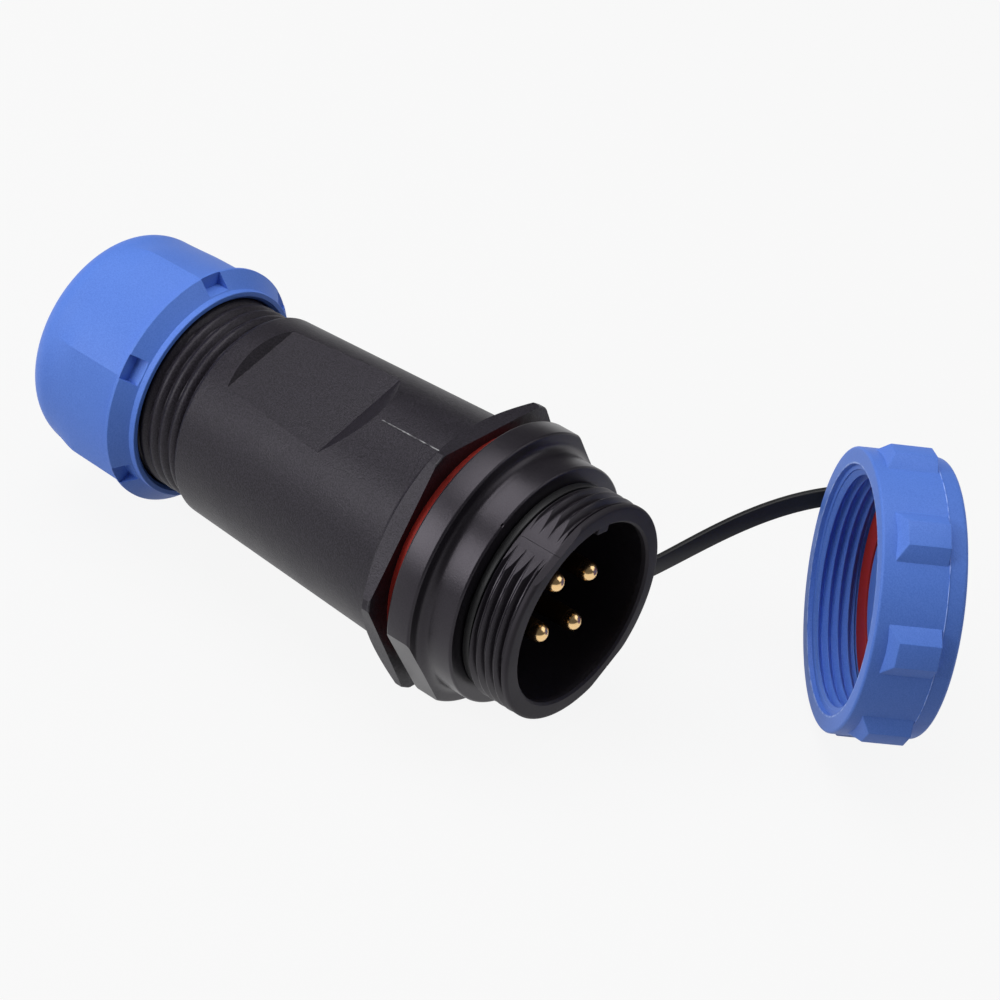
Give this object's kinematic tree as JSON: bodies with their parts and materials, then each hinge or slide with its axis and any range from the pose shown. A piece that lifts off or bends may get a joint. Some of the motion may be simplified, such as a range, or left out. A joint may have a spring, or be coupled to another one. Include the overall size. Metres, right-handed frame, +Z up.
{
  "type": "circular cable connector",
  "caption": "Round in-line cable connector with male contacts in a threaded mouth, a sealed back shell, a cable gland and a tethered screw-on dust cap.",
  "frame": {"origin": "on the connector's axis at the front end of the coupling thread", "axes": "+X along the connector's axis out of the mouth, +Z up as it lies on a surface"},
  "size_m": [0.1399, 0.0787, 0.0439],
  "materials": {
    "shell_black": "moulded, fine matte grain",
    "receptacle_black": "moulded, satin",
    "insert_black": "moulded, satin",
    "contact_gold": "gold plated",
    "screw_steel": "turned",
    "seal_black": "matte",
    "seal_red": "matte",
    "blue_plastic": "moulded, matte",
    "strap_black": "smooth, satin"
  },
  "bodies": {
    "connector": {"receptacle_shell": "receptacle_black", "contact_insert": "insert_black", "contact_retainer": "insert_black", "contact_pin_1": "contact_gold", "contact_pin_2": "contact_gold", "contact_pin_3": "contact_gold", "contact_pin_4": "contact_gold", "contact_seals": "seal_black", "terminal_screws": "screw_steel", "insert_seal": "seal_black", "insert_lock_ring": "insert_black", "flange_seal": "seal_red", "back_shell": "shell_black"},
    "gland_clamp": {"clamp_cage": "insert_black", "cable_seal": "seal_black"},
    "gland_nut": {"gland_nut": "blue_plastic"},
    "strap": {"cap_strap": "strap_black"},
    "cap": {"dust_cap": "blue_plastic", "cap_gasket": "seal_red"}
  },
  "joints": [
    {"name": "gland_advance", "type": "slide", "parent": "connector", "child": "gland_clamp", "axis": [1, 0, 0], "range_m": [0, 0.005]},
    {"name": "gland_turn", "type": "hinge", "parent": "gland_clamp", "child": "gland_nut", "pos_m": [-0.08, 0, 0], "axis": [1, 0, 0], "range_deg": [0, 900]},
    {"name": "strap_swivel", "type": "hinge", "parent": "connector", "child": "strap", "pos_m": [-0.00595, 0, 0], "axis": [1, 0, 0], "continuous": true},
    {"name": "cap_swivel", "type": "hinge", "parent": "strap", "child": "cap", "pos_m": [0.0239, 0.0309, 0.00105], "axis": [-0.7263, -0.6844, 0.0645], "continuous": true}
  ],
  "couplings": [
    {"joint": "gland_advance", "follows": "gland_turn", "m_per_rad": 0.0003183}
  ]
}
